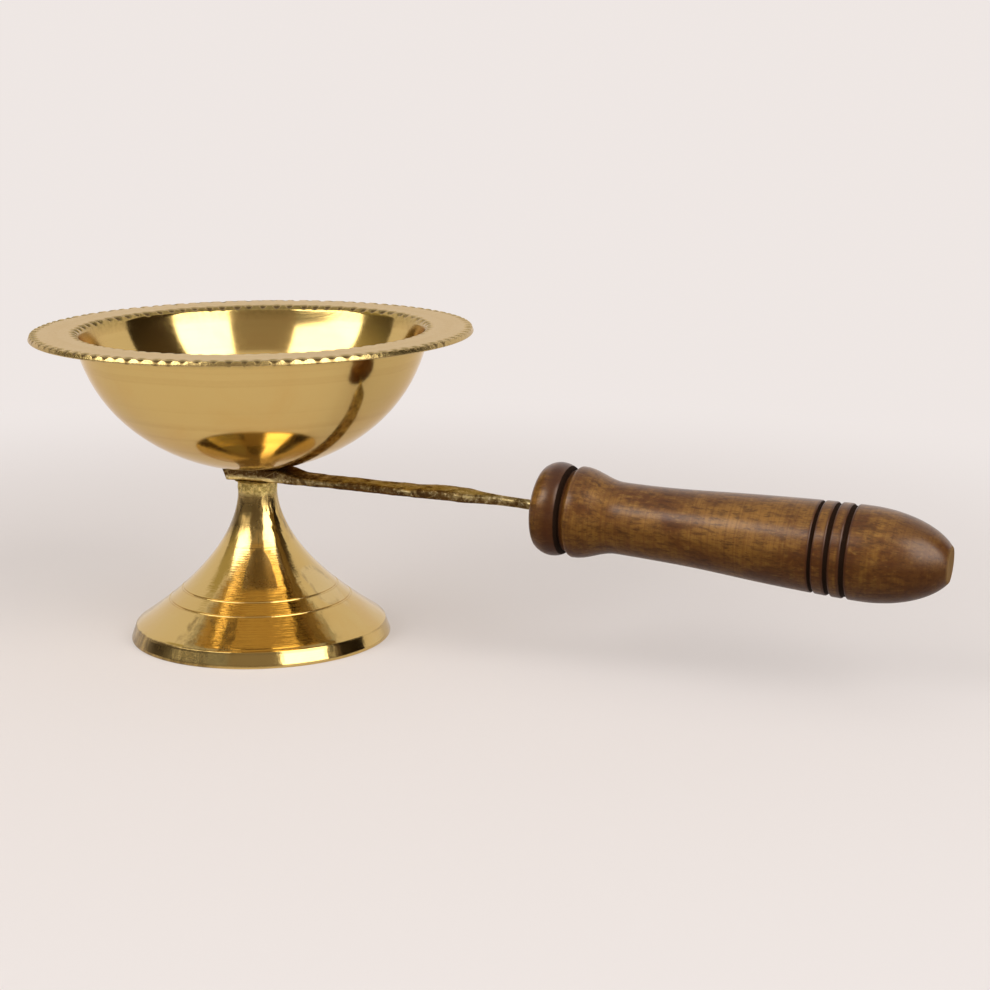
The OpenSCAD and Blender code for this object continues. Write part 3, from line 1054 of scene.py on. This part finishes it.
bowl_brass, tree, shader = new_material("bowl_brass_spun", Metallic=1.0, Specular_Tint=GRAZING_GOLD)
stain = use_group(tree, stains, Blotches_per_metre=42.0, Cover=0.45)
rings = use_group(tree, turning_lines, Lines_per_metre=240.0, Waver=0.25)["Height"]
ring = product(tree, ramp(tree, rings, 0.48, 0.68), ramp(tree, stain["Speckle"], 0.0, 1.0, 0.7, 1.0))
matte = attribute(tree, "matte")
bend_dirt = product(tree, attribute(tree, "bend_dirt"), ramp(tree, stain["Speckle"], 0.0, 1.0, 0.45, 0.8))
dirt = ramp(tree, attribute(tree, "punched"), 0.08, 0.75)
colour = layered(
    tree, BRASS,
    (stain["Mask"], 0.5, BRASS_WARM),
    (ring, 0.35, BUFFING_RING),
    (matte, 0.75, BRASS_PALE),
    (product(tree, stain["Speckle"], matte), 0.35, BRASS_SPECKLE),
    # Dirt in the bend, and painted shade on the rim's outer edge.
    (bend_dirt, 1.0, BEND_DIRT_AND_EDGE_SHADE),
    (dirt, 0.88, OLD_POLISH),
)
tree.links.new(colour, shader["Base Color"])

# %% Roughness and bump of the bowl
rough = raised(
    tree, blend_value(tree, matte, 0.085, 0.34),
    (stain["Mask"], 0.04), (ring, 0.03), (stain["Speckle"], 0.02), (dirt, 0.15),
)
tree.links.new(rough, shader["Roughness"])
wobble = cloudy(tree, object_place(tree), 45, 2, 0.5)
brushed = cloudy(tree, object_place(tree), 1100, 3, 0.6)
lines = use_group(tree, turning_lines, Lines_per_metre=2600.0, Waver=0.5)["Height"]
scratch = use_group(tree, scratches, Scratches_per_metre=420.0, Cover=0.2)["Mask"]
normal = bump(tree, wobble, 0.5, 0.00035)
normal = bump(tree, brushed, product(tree, matte, 0.7), 0.0002, normal)
normal = bump(tree, lines, 0.12, 0.00002, normal)
tree.links.new(bump(tree, scratch, 0.15, 0.00002, normal), shader["Normal"])
finish_with(bowl, bowl_brass)

# %% [markdown]
# Turned brass of the foot
#
# The foot is the same brass with more wear. Its dark places are dull wear, and the arch in front and the
# neck also carry painted dark reflections. Vertical smears break up their edges, so that they look wiped and
# not drawn. The drip is paler than the brass and has a dark, broken rim. The top of the neck is coarse and
# pale, and the hollow keeps the dark skin of the casting.

# %% Colour of the foot
DULL_WEAR_AND_DARK_REFLECTION = (0.115, 0.066, 0.019, 1)
DRIED_DRIP = (0.78, 0.64, 0.36, 1)
DRIP_RIM = (0.26, 0.17, 0.055, 1)
BEDDING = ((0.36, 0.27, 0.08, 1), (0.80, 0.63, 0.25, 1))
CASTING_SKIN = ((0.14, 0.085, 0.035, 1), (0.34, 0.22, 0.085, 1))

foot_brass, tree, shader = new_material("foot_brass_turned", Metallic=1.0)
place = object_place(tree)
stain = use_group(tree, stains, Blotches_per_metre=70.0, Cover=0.4)
smears = cloudy(tree, stretched(tree, place, (1, 1, 0.3)), 420, 4, 0.62)
smear = product(tree, maths(tree, "SUBTRACT", smears, 0.5), 1.5)
dull_and_dark_reflection = attribute(tree, "dull_and_dark_reflection")
dulled_and_dark_reflection = product(tree, ramp(tree, maths(tree, "ADD", dull_and_dark_reflection, smear), 0.15, 0.95), ramp(tree, dull_and_dark_reflection, 0.0, 0.3))
residue = attribute(tree, "residue")
dried = ramp(tree, raised(tree, residue, (smear, 0.12)), 0.0, 0.3)
dried_rim = product(tree, dried, ramp(tree, residue, 0.5, 0.2), ramp(tree, smears, 0.42, 0.62))
rough_zone = attribute(tree, "rough")
inside = attribute(tree, "inside")
lumps = cloudy(tree, place, 900, 4, 0.65)
lumpy = ramp(tree, lumps, 0.38, 0.62)
colour = layered(
    tree, BRASS,
    (stain["Mask"], 0.4, BRASS_WARM),
    # Dull wear, and painted dark reflections on the arch in front and on the neck.
    (dulled_and_dark_reflection, 0.8, DULL_WEAR_AND_DARK_REFLECTION),
    (dried, 0.35, DRIED_DRIP),
    (dried_rim, 0.45, DRIP_RIM),
    (rough_zone, 1.0, blend(tree, lumpy, *BEDDING)),
    (inside, 1.0, blend(tree, lumpy, *CASTING_SKIN)),
)
tree.links.new(colour, shader["Base Color"])

# %% Roughness and bump of the foot
coarse = maths(tree, "MAXIMUM", rough_zone, inside)
rough = raised(
    tree, blend_value(tree, coarse, 0.10, 0.46), (stain["Mask"], 0.05), (dulled_and_dark_reflection, 0.16), (dried, 0.12)
)
tree.links.new(rough, shader["Roughness"])
lines = use_group(tree, turning_lines, Lines_per_metre=1900.0, Waver=0.35)["Height"]
scratch = use_group(tree, scratches, Scratches_per_metre=500.0, Cover=0.25)["Mask"]
dents = cloudy(tree, stretched(tree, place, (1, 1, 0.35)), 330, 2, 0.5)
near_neck = ramp(tree, height_of(tree), 0.024, 0.036, 0.12, 1.0)
normal = bump(tree, lines, 0.5, 0.00004)
normal = bump(tree, dents, near_neck, 0.0006, normal)
normal = bump(tree, lumps, coarse, 0.0003, normal)
tree.links.new(bump(tree, scratch, 0.15, 0.00002, normal), shader["Normal"])
finish_with(foot, foot_brass)

# %% [markdown]
# Old brass of the strap
#
# Most of the strap was never buffed. Fire scale and tarnish fill its hollows, handling has rubbed its high
# places bright, and the file left short upright lines on its sides. The upper part of the eye, close under
# the bowl, is darkened with a painted shadow of the bowl. One cloudy noise is added to the attribute that
# holds tarnish and this painted shadow, so the border between dark and bright brass is ragged. Only the
# lower half of the eye's side, where that attribute is below 0, is bright and warm like the neck under it.

# %% Colour of the strap
RUBBED_BRASS = (0.50, 0.39, 0.175, 1)
TARNISH_AND_SHADE = (0.058, 0.030, 0.010, 1)
FIRE_STAIN = (0.19, 0.10, 0.028, 1)
FILED_LINE = (0.60, 0.45, 0.18, 1)
BRIGHT_FLECK = (0.82, 0.70, 0.42, 1)
SCRATCHED = (0.66, 0.48, 0.2, 1)
BRIGHT_EYE_SIDE = ((0.62, 0.45, 0.15, 1), (0.95, 0.76, 0.33, 1))
GRAZING_BROWN = (0.5, 0.36, 0.22, 1)

strap_brass, tree, shader = new_material("strap_brass_forged", Metallic=1.0, Specular_Tint=GRAZING_BROWN)
place = object_place(tree)
tarnish_and_shade = attribute(tree, "tarnish_and_shade")
cloud = cloudy(tree, place, 380, 5, 0.68)
uneven = product(tree, maths(tree, "SUBTRACT", cloud, 0.5), 3.2)
dark = ramp(tree, maths(tree, "ADD", tarnish_and_shade, uneven), 0.0, 1.0)
rubbed = maths(tree, "SUBTRACT", 1.0, product(tree, dark, 0.8))
stain = use_group(tree, stains, Blotches_per_metre=150.0, Cover=0.55)
scratch = use_group(tree, scratches, Scratches_per_metre=900.0, Cover=0.4)["Mask"]
filed = cloudy(tree, stretched(tree, place, (1, 0.12, 0.12)), 2600, 3, 0.6)
filed_line = product(tree, ramp(tree, filed, 0.55, 0.68), rubbed)
fleck = product(tree, ramp(tree, cloudy(tree, place, 1300, 3, 0.6), 0.54, 0.64), rubbed)
bright_eye_side = ramp(tree, tarnish_and_shade, -0.1, -0.8)
colour = layered(
    # The dark colour is tarnish, and painted shadow close under the bowl.
    tree, blend(tree, dark, RUBBED_BRASS, TARNISH_AND_SHADE),
    (stain["Mask"], 0.35, FIRE_STAIN),
    (filed_line, 0.16, FILED_LINE),
    (fleck, 0.7, BRIGHT_FLECK),
    (scratch, 0.2, SCRATCHED),
    (bright_eye_side, 0.9, blend(tree, ramp(tree, cloud, 0.36, 0.6), *BRIGHT_EYE_SIDE)),
)
tree.links.new(colour, shader["Base Color"])

# %% Roughness and bump of the strap
tree.links.new(ramp(tree, dark, 0.0, 1.0, 0.30, 0.55), shader["Roughness"])
normal = bump(tree, cloud, 0.7, 0.0004)
tree.links.new(bump(tree, filed, 0.5, 0.00014, normal), shader["Normal"])
finish_with(strap, strap_brass)

# %% [markdown]
# Turned hardwood
#
# The grip is a close-grained brown wood under a thin satin varnish. Broad light and dark zones, a mottle,
# a fine grain and pores lie over each other, so noises at four scales are stretched along the grip's own
# axis, and fine rings from the lathe's tool run round it. The underside is darkened with painted shade. Heat
# has browned the wood beside the burnt lines, which are nearly black and have lost their varnish, and the
# sawn flat at the end is bare. The bead's front and the end are a little darker. The varnish is a coat,
# brighter on the upper side that the palm rubs.

# %% Pattern of the wood
FIGURE = ((0.094, 0.031, 0.006, 1), (0.250, 0.116, 0.022, 1))
MOTTLE_PALE = (0.28, 0.135, 0.027, 1)
MOTTLE_DARK = (0.045, 0.015, 0.004, 1)
GRAIN_PALE = (0.30, 0.155, 0.035, 1)
GRAIN_DARK = (0.045, 0.016, 0.004, 1)
TOOL_RING = (0.085, 0.025, 0.006, 1)
PORE = (0.030, 0.012, 0.004, 1)
UNDERSIDE_PAINTED_SHADE = (0.040, 0.014, 0.003, 1)
WARM_SHEEN = (1.0, 0.78, 0.56, 1)

grip_wood, tree, shader = new_material(
    "grip_wood_varnished", IOR=1.22, Specular_Tint=WARM_SHEEN, Coat_Roughness=0.28
)
along_grip = stretched(tree, object_place(tree), rotation=(0, -math.radians(grip_fall), 0))
figure = cloudy(tree, stretched(tree, along_grip, (0.6, 1, 1)), 62, 4, 0.6, 1.8)
mottle = cloudy(tree, stretched(tree, along_grip, (0.8, 1, 1)), 400, 5, 0.66, 0.5)
grain = cloudy(tree, stretched(tree, along_grip, (0.3, 1, 1)), 1000, 4, 0.6, 0.3)
pores = cloudy(tree, stretched(tree, along_grip, (0.3, 1, 1)), 2300, 2, 0.5)
rings = use_group(tree, turning_lines, Lines_per_metre=1250.0, Waver=2.2)["Height"]
pore = ramp(tree, pores, 0.54, 0.66)
shine = attribute(tree, "shine")
colour = layered(
    tree, blend(tree, ramp(tree, figure, 0.36, 0.66), *FIGURE),
    (ramp(tree, mottle, 0.48, 0.70), 0.42, MOTTLE_PALE),
    (ramp(tree, mottle, 0.5, 0.28), 0.42, MOTTLE_DARK),
    (ramp(tree, grain, 0.5, 0.34), 0.62, GRAIN_DARK),
    (ramp(tree, grain, 0.54, 0.70), 0.42, GRAIN_PALE),
    (ramp(tree, rings, 0.42, 0.66), 0.34, TOOL_RING),
    (pore, 0.4, PORE),
    # Painted shade: the underside is darker.
    (ramp(tree, shine, 0.6, 0.0), 0.34, UNDERSIDE_PAINTED_SHADE),
)
print("wood pattern of four noises and the tool's rings")

# %% Burnt lines and the sawn end
BROWNED = (0.050, 0.014, 0.004, 1)
CHARRED = (0.010, 0.004, 0.002, 1)
BARE_WOOD = ((0.09, 0.042, 0.014, 1), (0.30, 0.18, 0.07, 1))

burn = attribute(tree, "burn")
uneven_burn = raised(tree, burn, (maths(tree, "SUBTRACT", mottle, 0.5), 0.35))
browned = product(tree, ramp(tree, uneven_burn, 0.02, 0.4), ramp(tree, burn, 0.0, 0.1))
charred = product(tree, ramp(tree, uneven_burn, 0.52, 0.98), ramp(tree, burn, 0.3, 0.6))
sawn = attribute(tree, "sawn")
sawn_lines = cloudy(tree, stretched(tree, object_place(tree), (1, 1, 0.1)), 1800, 2, 0.5)
colour = layered(
    tree, colour,
    (browned, 0.85, BROWNED),
    (charred, 1.0, CHARRED),
    (sawn, 1.0, blend(tree, sawn_lines, *BARE_WOOD)),
)
tree.links.new(colour, shader["Base Color"])

# %% Varnish and bump of the wood
worn = maths(tree, "MAXIMUM", charred, sawn)
varnish = blend_value(tree, shine, 0.05, 0.62)
tree.links.new(raised(tree, blend_value(tree, worn, 0.36, 0.85), (pore, 0.1)), shader["Roughness"])
tree.links.new(product(tree, ramp(tree, worn, 0.0, 1.0, 1.0, 0.0), varnish), shader["Coat Weight"])
turned_lines = use_group(tree, turning_lines, Lines_per_metre=1400.0, Waver=0.4)["Height"]
normal = bump(tree, turned_lines, 0.25, 0.00006)
normal = bump(tree, mottle, 0.3, 0.0002, normal)
tree.links.new(bump(tree, pores, 0.4, 0.00006, normal), shader["Normal"])
finish_with(grip, grip_wood)

# %% [markdown]
# The screw and its nut
#
# These small pieces keep the construction model's own meshes, because their shape is already right. They
# only get a finish: plain brass for the screw and the washer in the bowl, and dull zinc for the nut and the
# washers in the foot.

# %% Finishes of the hardware
PLAIN_BRASS = ((0.60, 0.42, 0.16, 1), (0.36, 0.23, 0.08, 1))
DULL_ZINC = ((0.52, 0.52, 0.50, 1), (0.30, 0.30, 0.30, 1))


def hardware_finish(name, blotches, colours, roughness):
    """A stained plain metal, between two colours and two values of roughness."""
    material, tree, shader = new_material(name, Metallic=1.0)
    stain = use_group(tree, stains, Blotches_per_metre=blotches, Cover=0.5)
    tree.links.new(blend(tree, stain["Mask"], *colours), shader["Base Color"])
    tree.links.new(blend_value(tree, stain["Speckle"], *roughness), shader["Roughness"])
    tree.links.new(bump(tree, stain["Speckle"], 0.3, 0.00003), shader["Normal"])
    return material


screw_brass = hardware_finish("screw_brass_plain", 260.0, PLAIN_BRASS, (0.22, 0.38))
nut_zinc = hardware_finish("nut_zinc_plated", 300.0, DULL_ZINC, (0.3, 0.45))
for name in ("bowl_screw", "head_washer"):
    finish_with(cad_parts[name], screw_brass)
for name in ("seat_washer", "lock_washer", "hex_nut"):
    finish_with(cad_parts[name], nut_zinc)

# %% [markdown]
# Floor and backdrop
#
# Metal shows its surroundings, so the studio matters as much as the material. The lamp stands on a pale
# floor that sweeps up into a pale wall all round. Close to the lamp the floor is mostly plain cloth, which
# takes its shadow. Further out it glows evenly for camera and mirror rays, so that the background stays one
# colour. Light that it throws back on the lamp is darker, and from below it is clear.

# %% Shapes of the stage
FLOOR_COLOUR = (0.86, 0.80, 0.775, 1)
FLOOR_BOUNCE = (0.34, 0.29, 0.26, 1)
floor_flat_r = 1.2
floor_sweep_r = 0.5
wall_top = 2.2
shadow_r = (0.12, 0.36)
glow_beside_lamp = 0.4


def stage_piece(name, bm, material):
    """A smooth object that belongs to the studio and not to the lamp."""
    obj = smooth_object(name, bm)
    finish_with(obj, material)
    return obj


def spun_stage(outline, start, stop, steps):
    """Spins an outline in metres round Z between two angles in degrees."""
    bm = bmesh.new()
    ring = [bm.verts.new((r, 0, z)) for r, z in outline]
    edges = [bm.edges.new(pair) for pair in zip(ring, ring[1:])]
    bmesh.ops.rotate(bm, cent=(0, 0, 0), matrix=turned(start, "Z"), verts=bm.verts)
    bmesh.ops.spin(
        bm, geom=ring + edges, cent=(0, 0, 0), axis=(0, 0, 1), angle=math.radians(stop - start), steps=steps,
        use_merge=stop - start == 360,
    )
    bmesh.ops.remove_doubles(bm, verts=bm.verts, dist=MERGE_GAP)
    bm.normal_update()
    if sum(face.normal.z for face in bm.faces) < 0:
        bmesh.ops.reverse_faces(bm, faces=bm.faces)
    return bm


# %% Floor and wall
backdrop_material = bpy.data.materials.new("backdrop_plain")
backdrop_material.use_nodes = True
tree = backdrop_material.node_tree
tree.nodes.clear()
path = node(tree, "ShaderNodeLightPath").outputs
thrown_back = blend(tree, path["Is Diffuse Ray"], FLOOR_COLOUR, FLOOR_BOUNCE)
plain = node(tree, "ShaderNodeBsdfDiffuse", (("Color", thrown_back),)).outputs[0]
glow = node(tree, "ShaderNodeEmission", (("Color", FLOOR_COLOUR), ("Strength", 1.0))).outputs[0]
seen = maths(tree, "MAXIMUM", path["Is Camera Ray"], path["Is Glossy Ray"])
seen = maths(tree, "MAXIMUM", seen, path["Is Transmission Ray"])
from_lamp = node(tree, "ShaderNodeVectorMath", ((0, object_place(tree)),), operation="LENGTH")
distance = from_lamp.outputs["Value"]
share = product(tree, seen, ramp(tree, distance, *shadow_r, glow_beside_lamp, 1.0))
surface = node(tree, "ShaderNodeMixShader", ((0, share), (1, plain), (2, glow))).outputs[0]
from_below = node(tree, "ShaderNodeNewGeometry").outputs["Backfacing"]
clear = node(tree, "ShaderNodeBsdfTransparent").outputs[0]
surface = node(tree, "ShaderNodeMixShader", ((0, from_below), (1, surface), (2, clear))).outputs[0]
tree.links.new(surface, node(tree, "ShaderNodeOutputMaterial").inputs[0])

sweep = arc((floor_flat_r, floor_sweep_r), floor_sweep_r, -90, 0, 12)
backdrop_outline = [(0, 0), (0.3, 0), (0.7, 0)] + sweep + [(floor_flat_r + floor_sweep_r, wall_top)]
stage_piece("backdrop", spun_stage(backdrop_outline, 0, 360, 96), backdrop_material)

# %% [markdown]
# Soft light and dark screens
#
# Two tall soft boxes stand in front, left and right of the camera, and dim light falls from above. Each box
# is two things: an area lamp that lights the scene, and a glowing panel that only mirrors see, brighter in
# its middle than at its edge as a real cloth front is. A fade says where the cloth ends and where its full
# glow starts, as shares of the panel's size, and how much of the glow is left at the end. The left box has a
# lower corner covered along a slant, which gives its image in the bowl a slanted end. Between and beside the
# boxes stand dark screens. They give polished metal its dark stripes: without them the brass would be one
# flat gold.

# %% Soft boxes
LAMP_R = 0.80
LAMP_RADIANCE = 3.1
PANEL_GLOW = 4.9
PANEL_COLOUR = (1, 0.985, 0.96, 1)
SIDE_FADE = (0.5, 0.465, 0.5)
LOW_FADE = (-0.5, -0.22, 0.35)
HIGH_FADE = (0.5, 0.34, 0.12)
COVERED_SHARE = 0.065
CORNER_SLANT = 0.42
CORNER_FADE = 0.03
NO_CORNER = 2.0


def glow_material(name, colour, strength):
    """A glowing surface. The colour and the strength may each be a value or a function of the tree."""
    material = bpy.data.materials.new(name)
    material.use_nodes = True
    tree = material.node_tree
    tree.nodes.clear()
    made = [value(tree) if callable(value) else value for value in (colour, strength)]
    glow = node(tree, "ShaderNodeEmission", enumerate(made)).outputs[0]
    tree.links.new(glow, node(tree, "ShaderNodeOutputMaterial").inputs[0])
    return material


def faded(tree, place, size, end, full, dim):
    """Share of the glow: dim at the panel's end, and 1 from the place where it is full."""
    return ramp(tree, place, size * end, size * full, dim, 1.0)


def soft_box(name, azimuth, width_degrees, low, high, corner=NO_CORNER):
    """A tall lamp with its panel, at an angle from the camera's direction, to the right where positive. One
    lower corner is covered along a slant that passes corner metres below the panel's middle."""
    angle = math.radians(camera_azimuth + azimuth)
    outward = Vector((math.cos(angle), math.sin(angle), 0))
    wide = 2 * LAMP_R * math.tan(math.radians(width_degrees / 2))
    tall = high - low
    light = bpy.data.lights.new(name, "AREA")
    light.shape = "RECTANGLE"
    light.size = wide
    light.size_y = tall
    light.energy = LAMP_RADIANCE * math.pi * wide * tall
    lamp = placed(name, light)
    facing = outward.to_track_quat("Z", "Y").to_matrix().to_4x4()
    lamp.matrix_world = Matrix.Translation(outward * LAMP_R + Vector((0, 0, (low + high) / 2))) @ facing
    lamp.visible_camera = False
    lamp.visible_glossy = False

    def fading(tree):
        x, y, _ = node(tree, "ShaderNodeSeparateXYZ", ((0, object_place(tree)),)).outputs
        across = faded(tree, maths(tree, "ABSOLUTE", x), wide, *SIDE_FADE)
        low_end = faded(tree, y, tall, *LOW_FADE)
        high_end = faded(tree, y, tall, *HIGH_FADE)
        slanted = maths(tree, "SUBTRACT", product(tree, x, CORNER_SLANT), y)
        uncovered = ramp(tree, slanted, corner, corner - CORNER_FADE)
        lit = product(tree, across, low_end, uncovered, high_end)
        return product(tree, maths(tree, "MAXIMUM", lit, COVERED_SHARE), PANEL_GLOW)

    bm = bmesh.new()
    bmesh.ops.create_grid(bm, x_segments=1, y_segments=1, size=0.5)
    bmesh.ops.scale(bm, vec=(wide, tall, 1), verts=bm.verts)
    panel = stage_piece(name + "_panel", bm, glow_material(name + "_cloth", PANEL_COLOUR, fading))
    panel.matrix_world = lamp.matrix_world
    panel.visible_camera = panel.visible_diffuse = panel.visible_shadow = False


soft_box("box_left", azimuth=-60, width_degrees=54, low=0.14, high=1.12, corner=0.25)
soft_box("box_right", azimuth=38.5, width_degrees=43, low=0.03, high=1.15)

# %% Dark screens
SCREEN_R = 0.95
SCREEN_H = 1.1
SCREEN_FADE = (0.1, 0.7)
CEILING = (0.50, 0.48, 0.46, 1)


def dark_screen(name, start, stop, low, high):
    """An upright curved screen between two angles from the camera's direction, with its own colour below
    and above."""
    def shade(tree):
        return blend(tree, ramp(tree, height_of(tree), *SCREEN_FADE), low, high)

    outline = [(SCREEN_R, 0.0), (SCREEN_R, SCREEN_H)]
    angles = (camera_azimuth + start, camera_azimuth + stop)
    screen = stage_piece(name, spun_stage(outline, *angles, 24), glow_material(name, shade, 1.0))
    screen.visible_camera = False


dark_screen("screen_left", -118, -86, low=(0.050, 0.036, 0.030, 1), high=(0.50, 0.43, 0.25, 1))
dark_screen("screen_middle", -86, 62, low=(0.26, 0.215, 0.175, 1), high=(0.38, 0.32, 0.26, 1))
dark_screen("screen_right", 62, 101, low=(0.014, 0.010, 0.008, 1), high=(0.085, 0.060, 0.035, 1))

# %% Light from above
world = bpy.data.worlds.new("ceiling")
world.use_nodes = True
world.node_tree.nodes["Background"].inputs["Color"].default_value = CEILING
bpy.context.scene.world = world
bpy.context.scene.view_settings.view_transform = "Standard"
print("world:", world.name)
